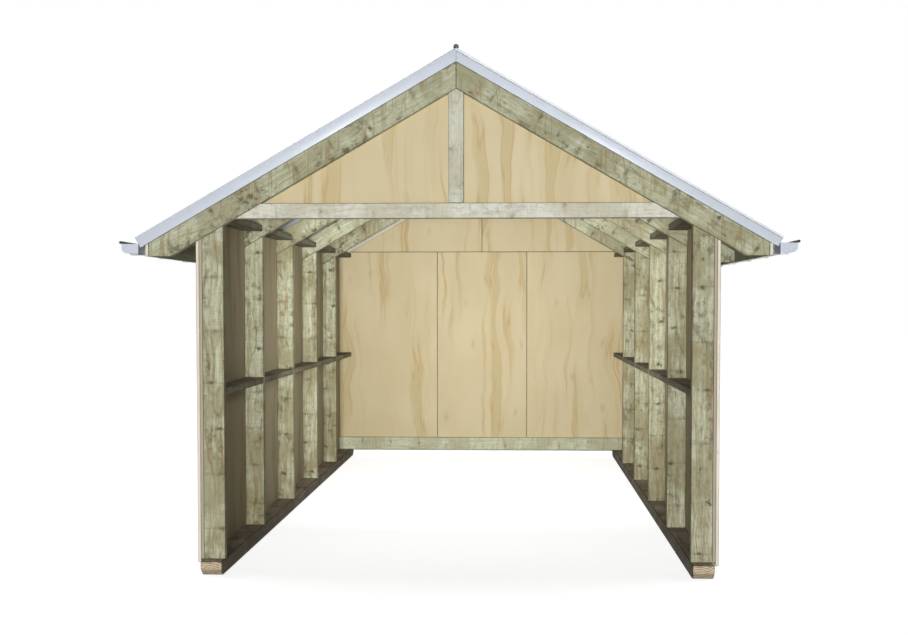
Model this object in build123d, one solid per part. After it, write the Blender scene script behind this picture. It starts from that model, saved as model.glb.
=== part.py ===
from build123d import *
from math import cos, radians, sin, tan
import os

# Timber frame: portal frames stand on two runners and carry a pitched roof
bays = 5
frame_spacing = 1200.0
clear_width = 3245.0
timber_wide = 150.0
timber_thick = 50.0
wall_clear = 2333.0
roof_pitch = 30.0

# Runners: the two skids that the frames stand on, each in two lengths
runner_high = 100.0
runner_out = 100.0
runner_bevel_back = 50.0
runner_bevel_high = 50.0

# Rafters, with a level cut under the tail
rafter_deep = 158.0
tail_reach = 374.5
tail_end_high = 92.6

# Nogs between the frames, and the front truss
mid_nog_top = 1200.0
top_nog_drop = 5.0
tie_lift = 47.0
tie_high = 105.0
king_wide = 105.0

# Plywood sheets and outer cladding
sheet_thick = 20.0
sheet_wide = 1220.0
sheet_high = 2440.0
sheet_gap = 3.0
gable_batten_drop = 66.0
cladding_thick = 23.5
cladding_lap = 25.0
rail_high = 150.0
rail_thick = 50.0
back_stud_count = 3

# Eaves: fascia, brackets and gutter
fascia_thick = 25.0
bracket_reach = 47.5
bracket_long = 40.0
brackets_per_bay = 2
bracket_high = 62.0
bracket_foot_thick = 14.0
bracket_foot_reach = 57.0
gutter_lift = 22.0
gutter_wide = 118.0
gutter_deep = 65.0
gutter_corner = 34.0
gutter_skin = 3.0
gutter_rim = 10.0

# Roof: purlins, corrugated sheets, barge flashings and ridge cap
purlin_wide = 75.0
purlin_thick = 58.0
purlin_rows = 4
purlin_first = 77.5
purlin_pitch = 540.0
eave_purlin_inset = 89.0
roof_overhang = 56.0
ridge_opening = 12.0
corrugation_pitch = 76.0
corrugation_deep = 17.0
roof_skin = 2.0
barge_skin = 3.0
barge_lap = 120.0
cap_skin = 2.0
cap_reach = 150.0
cap_roll = 20.0
cap_lift = 5.0

overrun = 400.0

# Heights over one corrugation, from trough to crest and back
wave_shares = [0.0, 0.0, 0.293, 0.707, 1.0, 1.0, 0.707, 0.293]

slope = radians(roof_pitch)
rise = tan(slope)
frame_long = bays * frame_spacing + timber_thick
front = -frame_long / 2
back = frame_long / 2
wall_in = clear_width / 2
wall_out = wall_in + timber_wide
sheet_out = wall_out + sheet_thick
cladding_out = sheet_out + cladding_thick
tail_out = wall_out + tail_reach
fascia_out = tail_out + fascia_thick
gutter_back = fascia_out + bracket_reach
under_apex = runner_high + wall_clear + wall_in * rise
top_apex = under_apex + rafter_deep / cos(slope)
roof_front = front
roof_back = back + cladding_thick
roof_end = (tail_out + roof_overhang) / cos(slope)
crest_high = purlin_thick + corrugation_deep + roof_skin
barge_high = crest_high + barge_skin
cap_high = barge_high + cap_skin
wall_top = top_apex - cladding_out * rise
tail_base = top_apex - tail_out * rise - tail_end_high
back_sheet_front = back - timber_thick - sheet_thick


def under(x):
    return under_apex - x * rise


def top(x):
    return top_apex - x * rise


# Point above the right roof slope: along it from the ridge, and square to it
def on_slope(along, above):
    x = along * cos(slope) + above * sin(slope)
    z = top_apex - along * sin(slope) + above * cos(slope)
    return (x, z)


# Solid with its outline across the building, running from one depth to another
def across(outline, y_from, y_to):
    points = [(x, y_from, z) for x, z in outline]
    return extrude(make_face(Polyline(*points, close=True)), y_to - y_from, dir=(0, 1, 0))


# Solid with its outline seen from the side, running from one width to another
def lengthwise(outline, x_from, x_to):
    points = [(x_from, y, z) for y, z in outline]
    return extrude(make_face(Polyline(*points, close=True)), x_to - x_from, dir=(1, 0, 0))


def block(x_from, x_to, y_from, y_to, z_from, z_to):
    outline = [(x_from, z_from), (x_to, z_from), (x_to, z_to), (x_from, z_to)]
    return across(outline, y_from, y_to)


def frame_front(number):
    return front + number * frame_spacing


def other_side(solids):
    return [mirror(solid, about=Plane.YZ) for solid in solids]


nodes = {}


# Keeps a right-hand group and its mirror image under their two names
def both_sides(name, solids):
    nodes["right_" + name] = solids
    nodes["left_" + name] = other_side(solids)


# Runners, bevelled under their outer ends and butted at mid length
runner_front = front - runner_out
front_runner_outline = [
    (runner_front, runner_high),
    (runner_front, runner_high - runner_bevel_high),
    (runner_front + runner_bevel_back, 0),
    (0, 0),
    (0, runner_high),
]
back_runner_outline = [(-y, z) for y, z in front_runner_outline]
both_sides("front_runner", [lengthwise(front_runner_outline, wall_in, wall_out)])
both_sides("back_runner", [lengthwise(back_runner_outline, wall_in, wall_out)])

# Studs, with tops cut to the roof slope
stud_outline = [
    (wall_in, runner_high),
    (wall_out, runner_high),
    (wall_out, under(wall_out)),
    (wall_in, under(wall_in)),
]
frames = range(bays + 1)
studs = [across(stud_outline, frame_front(i), frame_front(i) + timber_thick) for i in frames]
both_sides("studs", studs)

# Rafters, meeting on a plumb cut at the ridge
rafter_outline = [
    (0, under_apex),
    (0, top_apex),
    (tail_out, top(tail_out)),
    (tail_out, tail_base),
    ((under_apex - tail_base) / rise, tail_base),
]
rafters = [across(rafter_outline, frame_front(i), frame_front(i) + timber_thick) for i in frames]
both_sides("rafters", rafters)


# Nogs laid flat between the frames, the last row ending at the back sheets
def nog_row(base):
    row = []
    for i in range(bays):
        y_from = frame_front(i) + timber_thick
        y_to = min(frame_front(i + 1), back_sheet_front)
        row.append(block(wall_in, wall_out, y_from, y_to, base, base + timber_thick))
    return row


both_sides("mid_nogs", nog_row(runner_high + mid_nog_top - timber_thick))
both_sides("top_nogs", nog_row(top(wall_out) - top_nog_drop - timber_thick))

# Tie beams cut to the undersides of the rafters, and the king post over the front one
tie_low = under(wall_in) + tie_lift
tie_top = tie_low + tie_high
tie_low_half = (under_apex - tie_low) / rise
tie_top_half = (under_apex - tie_top) / rise
tie_outline = [
    (-tie_low_half, tie_low),
    (tie_low_half, tie_low),
    (tie_top_half, tie_top),
    (-tie_top_half, tie_top),
]
nodes["tie_beam"] = [across(tie_outline, front, front + timber_thick)]
nodes["back_tie_beam"] = [across(tie_outline, back - timber_thick, back)]
king_half = king_wide / 2
king_outline = [
    (-king_half, tie_top),
    (king_half, tie_top),
    (king_half, under(king_half)),
    (0, under_apex),
    (-king_half, under(king_half)),
]
nodes["king_post"] = [across(king_outline, front, front + timber_thick)]

# Front gable sheets behind the truss
gap_half = sheet_gap / 2
front_gable_outline = [
    (gap_half, tie_low),
    (wall_in, tie_low),
    (wall_in, top(wall_in)),
    (gap_half, top(gap_half)),
]
gable_front = front + timber_thick
front_gable = across(front_gable_outline, gable_front, gable_front + sheet_thick)
nodes["front_gable_sheets"] = [front_gable] + other_side([front_gable])

# Back wall: three full sheets, two gable sheets over them and a batten along each slope
back_sheet_back = back_sheet_front + sheet_thick
sheet_joint = wall_out - sheet_wide
sheet_top = runner_high + sheet_high
gable_low = sheet_top + sheet_gap
under_batten = top_apex - gable_batten_drop
wall_outline = [
    (-wall_out, runner_high),
    (wall_out, runner_high),
    (wall_out, under_batten - wall_out * rise),
    (0, under_batten),
    (-wall_out, under_batten - wall_out * rise),
]
back_lining = across(wall_outline, back_sheet_front, back_sheet_back)


# One sheet of the back lining, cut to the roof slope
def back_sheet(x_from, x_to, z_from, z_to):
    return back_lining & block(x_from, x_to, back_sheet_front, back_sheet_back, z_from, z_to)


both_sides("back_sheet", [back_sheet(sheet_joint + gap_half, wall_out, runner_high, sheet_top)])
middle_half = sheet_joint - gap_half
nodes["middle_back_sheet"] = [back_sheet(-middle_half, middle_half, runner_high, sheet_top)]
back_gable = back_sheet(gap_half, wall_out, gable_low, top_apex)
nodes["back_gable_sheets"] = [back_gable] + other_side([back_gable])
batten_outline = [
    (gap_half, under_batten - gap_half * rise),
    (wall_out, under_batten - wall_out * rise),
    (wall_out, top(wall_out)),
    (gap_half, top(gap_half)),
]
batten = across(batten_outline, back_sheet_front, back_sheet_back)
nodes["back_gable_battens"] = [batten] + other_side([batten])

# Rail along the foot of the back sheets, resting on both runners
rail_front = back_sheet_front - rail_thick
rail_top = runner_high + rail_high
nodes["back_bottom_rail"] = [
    block(-wall_out, wall_out, rail_front, back_sheet_front, runner_high, rail_top)
]

# Studs inside the back wall, under its tie beam and behind the sheet joints
back_studs = []
stud_step = 2 * sheet_joint / (back_stud_count - 1)
for i in range(back_stud_count):
    x_mid = -sheet_joint + i * stud_step
    x_from = x_mid - timber_thick / 2
    back_studs.append(
        block(x_from, x_from + timber_thick, back - timber_thick, back, runner_high, tie_low)
    )
nodes["back_wall_studs"] = back_studs

# Side wall sheets, one to a bay, notched round the rafters
wall_sheets = []
for i in range(bays):
    y_from = frame_front(i) + timber_thick / 2 + gap_half if i > 0 else front
    y_to = frame_front(i + 1) + timber_thick / 2 - gap_half if i < bays - 1 else back
    sheet = block(wall_out, sheet_out, y_from, y_to, runner_high, wall_top)
    sheet -= rafters[i]
    sheet -= rafters[i + 1]
    wall_sheets.append(sheet)
both_sides("wall_sheets", wall_sheets)

# Outer cladding laps the runners and is notched round rafters and runner ends
side_cladding = block(
    sheet_out, cladding_out, front, back, runner_high - cladding_lap, wall_top
)
for rafter in rafters:
    side_cladding -= rafter
both_sides("cladding", [side_cladding])
back_cladding_outline = [
    (-cladding_out, runner_high - cladding_lap),
    (cladding_out, runner_high - cladding_lap),
    (cladding_out, top(cladding_out)),
    (0, top_apex),
    (-cladding_out, top(cladding_out)),
]
back_cladding = across(back_cladding_outline, back, roof_back)
for side in ("left", "right"):
    back_cladding -= nodes[side + "_back_runner"][0]
nodes["back_cladding"] = [back_cladding]

# Fascia across the rafter tails
fascia_outline = [
    (tail_out, tail_base),
    (fascia_out, tail_base),
    (fascia_out, top(fascia_out)),
    (tail_out, top(tail_out)),
]
both_sides("fascia", [across(fascia_outline, roof_front, roof_back)])

# Gutter: flat back and front, a round lower corner, a rolled rim and closed ends
trough_low = tail_base + gutter_lift
trough_top = trough_low + gutter_deep
gutter_front = gutter_back + gutter_wide


# Section of the trough, from its flat back round to its front lip
def trough_face(inset, lip):
    start = (gutter_back + inset, 0, lip)
    heel = (gutter_back + inset, 0, trough_low + inset)
    turn = (gutter_front - gutter_corner, 0, trough_low + inset)
    rise_from = (gutter_front - inset, 0, trough_low + gutter_corner)
    peak = (gutter_front - inset, 0, lip)
    edges = Polyline(start, heel, turn) + TangentArc(turn, rise_from, tangent=(1, 0, 0))
    edges += Polyline(rise_from, peak, start)
    return make_face(edges)


trough = extrude(trough_face(0, trough_top), roof_back - roof_front, dir=(0, 1, 0))
channel_long = roof_back - roof_front - 2 * gutter_skin
channel = extrude(trough_face(gutter_skin, trough_top + overrun), channel_long, dir=(0, 1, 0))
rim_x = gutter_front + gutter_rim - gutter_skin
rim_plane = Plane(origin=(rim_x, 0, trough_top + gutter_rim), z_dir=(0, 1, 0))
rim = extrude(rim_plane * Circle(gutter_rim), roof_back - roof_front)
lip = block(
    gutter_front - gutter_skin,
    gutter_front,
    0,
    roof_back - roof_front,
    trough_top,
    trough_top + gutter_rim,
)
gutter = trough + lip + rim - Pos(0, gutter_skin, 0) * channel
both_sides("gutter", [Pos(0, roof_front, 0) * gutter])

# Gutter brackets on the fascia, each with a foot under the trough
bracket_low = trough_low - bracket_foot_thick
bracket_outline = [
    (fascia_out, bracket_low),
    (gutter_back + bracket_foot_reach, bracket_low),
    (gutter_back + bracket_foot_reach, trough_low),
    (gutter_back, trough_low),
    (gutter_back, bracket_low + bracket_high),
    (fascia_out, bracket_low + bracket_high),
]
bracket_step = frame_spacing / brackets_per_bay
brackets = []
for i in range(bays * brackets_per_bay + 1):
    y_from = roof_front + i * bracket_step
    brackets.append(across(bracket_outline, y_from, y_from + bracket_long))
both_sides("gutter_brackets", brackets)

# Purlins laid flat on the rafters, evenly down from the ridge and one at the tails
eave_purlin = tail_out / cos(slope) - eave_purlin_inset
purlin_middles = [purlin_first + i * purlin_pitch for i in range(purlin_rows)] + [eave_purlin]
purlins = []
for middle in purlin_middles:
    outline = [
        on_slope(middle - purlin_wide / 2, 0),
        on_slope(middle + purlin_wide / 2, 0),
        on_slope(middle + purlin_wide / 2, purlin_thick),
        on_slope(middle - purlin_wide / 2, purlin_thick),
    ]
    purlins.append(across(outline, roof_front, roof_back))
both_sides("purlins", purlins)

# Corrugated roof sheets, resting on the purlins with their troughs
wave_count = round((roof_back - roof_front) / corrugation_pitch)
wave_long = (roof_back - roof_front) / wave_count
sheet_start = (ridge_opening - purlin_thick * sin(slope)) / cos(slope)
wave_steps = wave_count * len(wave_shares)
lower_edge = []
for i in range(wave_steps + 1):
    y = roof_front + i * wave_long / len(wave_shares)
    above = purlin_thick + corrugation_deep * wave_shares[i % len(wave_shares)]
    lower_edge.append((y, above))
upper_edge = [(y, above + roof_skin) for y, above in reversed(lower_edge)]
wave_points = []
for y, above in lower_edge + upper_edge:
    x, z = on_slope(sheet_start, above)
    wave_points.append((x, y, z))
wave_face = make_face(Polyline(*wave_points, close=True))
down_slope = (cos(slope), 0, -sin(slope))
both_sides("roof_sheet", [extrude(wave_face, roof_end - sheet_start, dir=down_slope)])

# Barge flashings: a face over the purlin ends and a flange over the end corrugation
barge_face_outline = [
    (0, top_apex),
    (0, top_apex + barge_high / cos(slope)),
    on_slope(roof_end, barge_high),
    on_slope(roof_end, 0),
]
barge_flange_outline = [
    (0, top_apex + crest_high / cos(slope)),
    (0, top_apex + barge_high / cos(slope)),
    on_slope(roof_end, barge_high),
    on_slope(roof_end, crest_high),
]
front_barge = across(barge_face_outline, roof_front - barge_skin, roof_front)
front_barge += across(barge_flange_outline, roof_front, roof_front + barge_lap)
back_barge = across(barge_face_outline, roof_back, roof_back + barge_skin)
back_barge += across(barge_flange_outline, roof_back - barge_lap, roof_back)
both_sides("front_barge", [front_barge])
both_sides("back_barge", [back_barge])

# Ridge cap: two flanges over the barges and a hollow roll along the apex
cap_low_apex = top_apex + barge_high / cos(slope)
cap_top_apex = top_apex + cap_high / cos(slope)
cap_left = [(-x, z) for x, z in (on_slope(cap_reach, cap_high), on_slope(cap_reach, barge_high))]
flange_outline = [
    (0, cap_low_apex),
    on_slope(cap_reach, barge_high),
    on_slope(cap_reach, cap_high),
    (0, cap_top_apex),
    *cap_left,
]
over_outline = [
    (0, cap_low_apex),
    on_slope(cap_reach, barge_high),
    (on_slope(cap_reach, barge_high)[0], cap_top_apex + overrun),
    (-on_slope(cap_reach, barge_high)[0], cap_top_apex + overrun),
    (-on_slope(cap_reach, barge_high)[0], on_slope(cap_reach, barge_high)[1]),
]
cap_front = roof_front - barge_skin
cap_back = roof_back + barge_skin
roll_plane = Plane(origin=(0, cap_front, cap_top_apex + cap_lift), z_dir=(0, 1, 0))
roll = extrude(roll_plane * Circle(cap_roll), cap_back - cap_front)
hollow = extrude(roll_plane * Circle(cap_roll - cap_skin), cap_back - cap_front)
cap = across(flange_outline, cap_front, cap_back)
cap += roll & across(over_outline, cap_front, cap_back)
nodes["ridge_cap"] = [cap - hollow]

os.makedirs("parts", exist_ok=True)
for name, solids in nodes.items():
    shape = solids[0] if len(solids) == 1 else Compound(children=list(solids))
    export_step(shape, "parts/" + name + ".step")
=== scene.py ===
import math
import random

import bmesh
import bpy
from mathutils import Matrix, Vector


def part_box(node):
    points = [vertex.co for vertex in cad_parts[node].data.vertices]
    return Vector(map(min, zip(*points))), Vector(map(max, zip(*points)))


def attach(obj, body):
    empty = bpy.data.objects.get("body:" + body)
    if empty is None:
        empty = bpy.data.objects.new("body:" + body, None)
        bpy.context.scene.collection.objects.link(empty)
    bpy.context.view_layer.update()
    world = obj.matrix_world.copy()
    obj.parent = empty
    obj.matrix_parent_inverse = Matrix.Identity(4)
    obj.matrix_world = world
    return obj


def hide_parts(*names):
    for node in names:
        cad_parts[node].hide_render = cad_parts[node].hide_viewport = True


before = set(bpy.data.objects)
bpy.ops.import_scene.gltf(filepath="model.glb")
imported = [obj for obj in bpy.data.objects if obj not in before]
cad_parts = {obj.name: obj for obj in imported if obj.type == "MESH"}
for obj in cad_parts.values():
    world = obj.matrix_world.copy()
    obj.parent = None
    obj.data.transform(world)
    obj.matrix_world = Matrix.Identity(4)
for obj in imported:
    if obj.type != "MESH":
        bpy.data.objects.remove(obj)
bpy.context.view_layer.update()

# Edges, boards and fixings that the finish adds to the solids, in metres
TIMBER_ARRIS, BOARD_ARRIS, SHEET_ARRIS, BATTEN_ARRIS = 0.0035, 0.0035, 0.003, 0.0015
RUNNER_ARRIS, BRACKET_ARRIS, BARGE_ARRIS = 0.008, 0.0015, 0.001
BOARD_WIDE, BOARD_GAP = 0.15, 0.0012
NAIL_ROWS, NAIL_MARGIN, NAIL_SHARES = 5, 0.07, (0.25, 0.75)
SHEET_NAILING, SHEET_MARGIN = 0.2, 0.02
HEAD_SIDES = 8
SCREW = ((0.0095, -0.003), (0.0095, 0.0012), (0.0055, 0.0018), (0.0055, 0.0058), (0.004, 0.007))
NAIL = ((0.0034, -0.001), (0.0034, 0.0004), (0.0018, 0.0009))

# Corrugated iron: one wave, the skin of its solid, the thinner skin shown, laps, screws and fillers
WAVE_LONG, SOLID_SKIN, IRON_SKIN = 0.076, 0.002, 0.0011
SHEET_WAVES, WAVE_STEPS, WAVE_SHIFT, LAP_RISE = 10, 16, 1 / 16, 0.00035
SCREW_WAVES, BARE_WAVES, CAP_EDGE = 3, 2, 0.025
FILLER_STEPS, FILLER_SLACK = 8, 0.0004
SECTION_CORNERS = 4

# The barge hem's white fold and the painted shadow line under it: from the top down to, and how proud
HEM_FOLD, HEM_FOLD_PROUD = 0.015, 0.0008
HEM_LINE, HEM_LINE_PROUD = 0.018, 0.0004

# Corner numbers of a box's six sides, as barge_hem lists its corners
BOX_SIDES = ((1, 5, 7, 3), (0, 1, 3, 2), (4, 6, 7, 5), (2, 3, 7, 6), (0, 4, 5, 1), (0, 2, 6, 4))

# The gutter's rolled rim, and how strongly the inner sides of gutter, studs and runners are darkened:
# painted shade, which in the gutter is partly dirt
RIM_ROUND, RIM_SLACK = 0.02, 0.0005
TROUGH_NEAR, TROUGH_SHADE, STUD_SHADE, RUNNER_SHADE = 0.004, 0.6, 0.7, 0.5

# The mark on eased and cut edges, and the one on a lining's front edge, which has its own colour
EASED_MARK, FRONT_MARK = 1, 2

# Shares of a normal at which a face counts as square to a direction or mostly facing it
SQUARE, MOSTLY = 0.9, 0.5

# Tolerances in metres, then turns in degrees for flat faces, sharp edges and crisp folds
WELD, NEAR = 1e-5, 1e-4
FLAT_TURN, SHARP_TURN = 0.4, 25.0
GUTTER_FOLD, BRACKET_FOLD, BARGE_FOLD, CAP_FOLD, WAVE_FOLD = 35.0, 30.0, 30.0, 40.0, 50.0

# How far apart along the grain pieces are cut, how far veneer sways, and knots and dust streaks a metre
TIMBER_SHIFT, PLY_SHIFT, PLY_SWAY = 23.7, 11.3, 0.24
WHORLS_A_METRE, STREAKS_A_METRE = 2.9, 24.0

# Studio floor: its half width, grey, and glow near the middle, rising to full far out, and a dim sky
FLOOR_REACH, FLOOR_GREY = 60.0, 0.4
GLOW_LOW, GLOW_NEAR, GLOW_FAR = 0.82, 5.0, 16.0
SKY_LIGHT = 0.14

# Each lamp's place, aim, watts, width and height, and whether it shows in metal
LAMPS = {
    "front_softbox": ((0.0, -14.0, 1.4), (0.0, 0.0, 1.4), 920.0, 0.8, 0.8, True),
    "tie_fill": ((0.0, -2.7, 2.36), (0.0, 3.0, 1.6), 24.0, 0.8, 0.1, False),
    "middle_fill": ((0.0, -1.5, 1.75), (0.0, 3.0, 1.6), 51.0, 0.5, 0.5, False),
    "back_fill": ((0.0, 0.5, 1.75), (0.0, 3.0, 1.5), 12.0, 0.5, 0.5, False),
    "left_softbox": ((-11.0, 1.0, 7.0), (-1.8, 0.0, 2.0), 800.0, 7.0, 4.0, True),
    "right_softbox": ((11.0, 1.0, 7.0), (1.8, 0.0, 2.0), 800.0, 7.0, 4.0, True),
    "back_softbox": ((0.0, 15.0, 5.0), (0.0, 3.0, 1.8), 900.0, 7.0, 4.0, True),
}


def srgb(r, g, b):
    """The linear colour of three display values."""

    def lin(v):
        v /= 255.0
        return v / 12.92 if v <= 0.04045 else ((v + 0.055) / 1.055) ** 2.4

    return (lin(r), lin(g), lin(b), 1.0)


def new_group(name, inputs, outputs):
    """A shader node group with named values in and out."""
    group = bpy.data.node_groups.new(name, "ShaderNodeTree")
    for way, labels in (("INPUT", inputs), ("OUTPUT", outputs)):
        for label in labels:
            group.interface.new_socket(label, in_out=way, socket_type="NodeSocketFloat")
    return group


class Shade:
    """Adds nodes to one tree, linking sockets and setting constants."""

    def __init__(self, tree):
        self.tree = tree

    def add(self, kind, settings=None, **sockets):
        node = self.tree.nodes.new(kind)
        for key, value in (settings or {}).items():
            setattr(node, key, value)
        for key, value in sockets.items():
            self.put(node.inputs[key.replace("_", " ")], value)
        return node

    def put(self, socket, value):
        """Links a value into a socket, or sets it there."""
        if isinstance(value, bpy.types.NodeSocket):
            self.tree.links.new(value, socket)
        else:
            socket.default_value = value

    def math(self, op, a, b=0.0):
        node = self.tree.nodes.new("ShaderNodeMath")
        node.operation = op
        self.put(node.inputs[0], a)
        self.put(node.inputs[1], b)
        return node.outputs[0]

    def times(self, *factors):
        product = factors[0]
        for factor in factors[1:]:
            product = self.math("MULTIPLY", product, factor)
        return product

    def plus(self, *terms):
        total = terms[0]
        for term in terms[1:]:
            total = self.math("ADD", total, term)
        return total

    def vec(self, op, a, b=(0, 0, 0)):
        node = self.tree.nodes.new("ShaderNodeVectorMath")
        node.operation = op
        self.put(node.inputs[0], a)
        self.put(node.inputs[1], b)
        return node.outputs["Value"] if op in ("DOT_PRODUCT", "LENGTH") else node.outputs["Vector"]

    def stretch(self, parts, factors):
        """A vector of three values, each times its own factor."""
        values = [self.math("MULTIPLY", p, f) for p, f in zip(parts, factors)]
        return self.add("ShaderNodeCombineXYZ", None, X=values[0], Y=values[1], Z=values[2]).outputs[0]

    def noise(self, vector, detail=2.0, rough=0.55, distort=0.0):
        node = self.add("ShaderNodeTexNoise", None, Vector=vector, Scale=1.0, Detail=detail)
        node.inputs["Roughness"].default_value = rough
        node.inputs["Distortion"].default_value = distort
        return node.outputs["Fac"]

    def around(self, value, middle, reach):
        """One where a value is at its middle, falling to nothing at its reach."""
        return self.span(self.math("ABSOLUTE", self.math("SUBTRACT", value, middle)), reach, 0.0)

    def span(self, value, low, high, to_low=0.0, to_high=1.0):
        """A value eased from one range into another, and held at both ends."""
        node = self.tree.nodes.new("ShaderNodeMapRange")
        node.interpolation_type = "SMOOTHSTEP"
        self.put(node.inputs["Value"], value)
        limits = {"From Min": low, "From Max": high, "To Min": to_low, "To Max": to_high}
        for label, limit in limits.items():
            node.inputs[label].default_value = limit
        return node.outputs["Result"]

    def mix(self, factor, a, b):
        node = self.tree.nodes.new("ShaderNodeMix")
        node.data_type = "RGBA"
        self.put(node.inputs["Factor"], factor)
        self.put(node.inputs[6], a)
        self.put(node.inputs[7], b)
        return node.outputs[2]

    def xyz(self, vector):
        return self.add("ShaderNodeSeparateXYZ", None, Vector=vector).outputs

    def attribute(self, name, socket):
        return self.add("ShaderNodeAttribute", {"attribute_name": name}).outputs[socket]

    def geometry(self, socket):
        return self.add("ShaderNodeNewGeometry").outputs[socket]


def grain_place(s, shift):
    """Place in a piece's own grain: along, across and through it, each piece on another stretch."""
    along, wide, thick = s.xyz(s.attribute("grain", "Vector"))
    tone = s.attribute("tone", "Fac")
    return s.math("ADD", along, s.math("MULTIPLY", tone, shift)), wide, thick, tone


def sawn_grain(s, out, place, tone):
    """Streaks, fibres, specks, saw marks, veins, checks and zones. Returns the place bent by the grain."""
    along, wide, thick = place
    sway = s.math("SUBTRACT", s.noise(s.stretch(place, (1.7, 2.0, 2.0))), 0.5)
    bent = (along, s.plus(wide, s.times(sway, 0.09)), thick)
    s.put(out["Streak"], s.noise(s.stretch(bent, (1.1, 38.0, 38.0)), 4.0, 0.6))
    s.put(out["Fibre"], s.noise(s.stretch(bent, (9.0, 420.0, 420.0))))
    s.put(out["Speck"], s.noise(s.stretch(place, (24.0, 62.0, 62.0)), 3.0, 0.6))
    s.put(out["Saw"], s.noise(s.stretch(place, (150.0, 5.0, 5.0))))
    vein = s.around(s.noise(s.stretch(bent, (0.8, 12.0, 12.0)), 1.5), 0.5, 0.05)
    fade = s.span(s.noise(s.stretch((along, wide, tone), (2.4, 5.0, 9.0))), 0.4, 0.6)
    s.put(out["Vein"], s.times(vein, fade))
    split = (along, s.plus(wide, s.times(sway, 0.16)), tone)
    check = s.around(s.noise(s.stretch(split, (0.9, 9.0, 17.0)), 1.0), 0.47, 0.016)
    s.put(out["Check"], s.times(check, s.span(fade, 1.0, 0.2)))
    s.put(out["Zone"], s.span(s.noise(s.stretch((along, wide, tone), (2.7, 2.2, 5.0)), 3.0), 0.44, 0.57))
    return bent


def knot_whorls(s, out, place, tone, bent, whorls):
    """Whorls with one eye each, somewhere across the piece, a faint line through it, and small knots."""
    along, wide, _ = place
    stray = s.noise(s.stretch((along, tone, tone), (0.9, 3.0, 3.0)), 0.0)
    cell = s.plus(s.times(along, whorls), stray)
    number = s.plus(s.math("FLOOR", cell), s.times(tone, 57.0))
    draw = s.xyz(s.add("ShaderNodeTexWhiteNoise", {"noise_dimensions": "1D"}, W=number).outputs["Color"])
    ragged = s.math("SUBTRACT", s.noise(s.stretch(place, (6.0, 24.0, 24.0)), 3.0), 0.5)
    off_line = s.math("DIVIDE", s.math("SUBTRACT", s.math("FRACT", cell), 0.5), whorls)
    off_line = s.plus(off_line, s.times(ragged, 0.035))
    off_eye = s.math("SUBTRACT", wide, s.times(s.math("SUBTRACT", draw[0], 0.5), 0.11))
    line = s.times(s.around(off_line, 0.0, 0.008), 0.45)
    smear = s.times(s.around(off_line, 0.0, 0.022), s.around(off_eye, 0.0, 0.06))
    s.put(out["Whorl"], s.math("MAXIMUM", line, smear))
    radius = s.vec("LENGTH", s.stretch((off_line, off_eye, 0.0), (1.0, 0.75, 1.0)))
    uneven = s.span(s.noise(s.stretch(place, (55.0, 55.0, 55.0)), 3.0), 0.3, 0.7, 0.5, 1.9)
    eye = s.times(s.span(s.times(radius, uneven), 0.02, 0.003), s.span(draw[1], 0.4, 0.7))
    spots = s.add("ShaderNodeTexVoronoi", None, Vector=s.stretch(bent, (9.0, 19.0, 19.0)), Scale=1.0)
    small = s.span(s.times(spots.outputs["Distance"], uneven), 0.17, 0.03)
    drawn = s.span(s.xyz(spots.outputs["Color"])[0], 0.8, 0.95)
    s.put(out["Knot"], s.math("MAXIMUM", eye, s.times(small, drawn)))


def weather_stains(s, out, place):
    """Drips that ran down the building, and mould in damp stretches of a piece."""
    spot = s.xyz(s.geometry("Position"))
    drip = s.around(s.noise(s.stretch(spot, (22.0, 22.0, 2.2)), 1.0, 0.5, 0.2), 0.5, 0.06)
    wet = s.span(s.noise(s.stretch(spot, (4.5, 4.5, 5.5))), 0.4, 0.58)
    s.put(out["Drip"], s.times(drip, wet))
    damp = s.span(s.noise(s.stretch(place, (2.3, 4.0, 4.0))), 0.46, 0.62)
    spores = s.span(s.noise(s.stretch(place, (19.0, 22.0, 22.0)), 4.0, 0.6), 0.46, 0.68)
    s.put(out["Mould"], s.times(damp, spores))


def cut_ends(s, out, place):
    """Faces square to the grain, and the year rings on them."""
    _, wide, thick = place
    facing = s.vec("DOT_PRODUCT", s.geometry("True Normal"), s.attribute("axis", "Vector"))
    s.put(out["End"], s.span(s.math("ABSOLUTE", facing), 0.6, 0.75))
    heart = s.stretch((0.0, s.plus(wide, 0.03), s.plus(thick, 0.24)), (0.0, 1.0, 1.0))
    wander = s.times(s.noise(s.stretch((0.0, wide, thick), (0.0, 24.0, 24.0)), 3.0), 0.02)
    rings = s.math("SINE", s.times(s.plus(s.vec("LENGTH", heart), wander), 420.0))
    s.put(out["Ring"], s.span(rings, -0.9, 0.6))


def timber_figure():
    """Rough sawn pine: its grain, whorls of knots, stains and cut ends."""
    grain = ("Streak", "Fibre", "Speck", "Saw", "Vein", "Check", "Zone", "Whorl", "Knot")
    group = new_group("timber_figure", ("Shift", "Whorls"), grain + ("Drip", "Mould", "End", "Ring"))
    s = Shade(group)
    given = s.add("NodeGroupInput").outputs
    out = s.add("NodeGroupOutput").inputs
    *place, tone = grain_place(s, given["Shift"])
    bent = sawn_grain(s, out, place, tone)
    knot_whorls(s, out, place, tone, bent, given["Whorls"])
    weather_stains(s, out, place)
    cut_ends(s, out, place)
    return group


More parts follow.
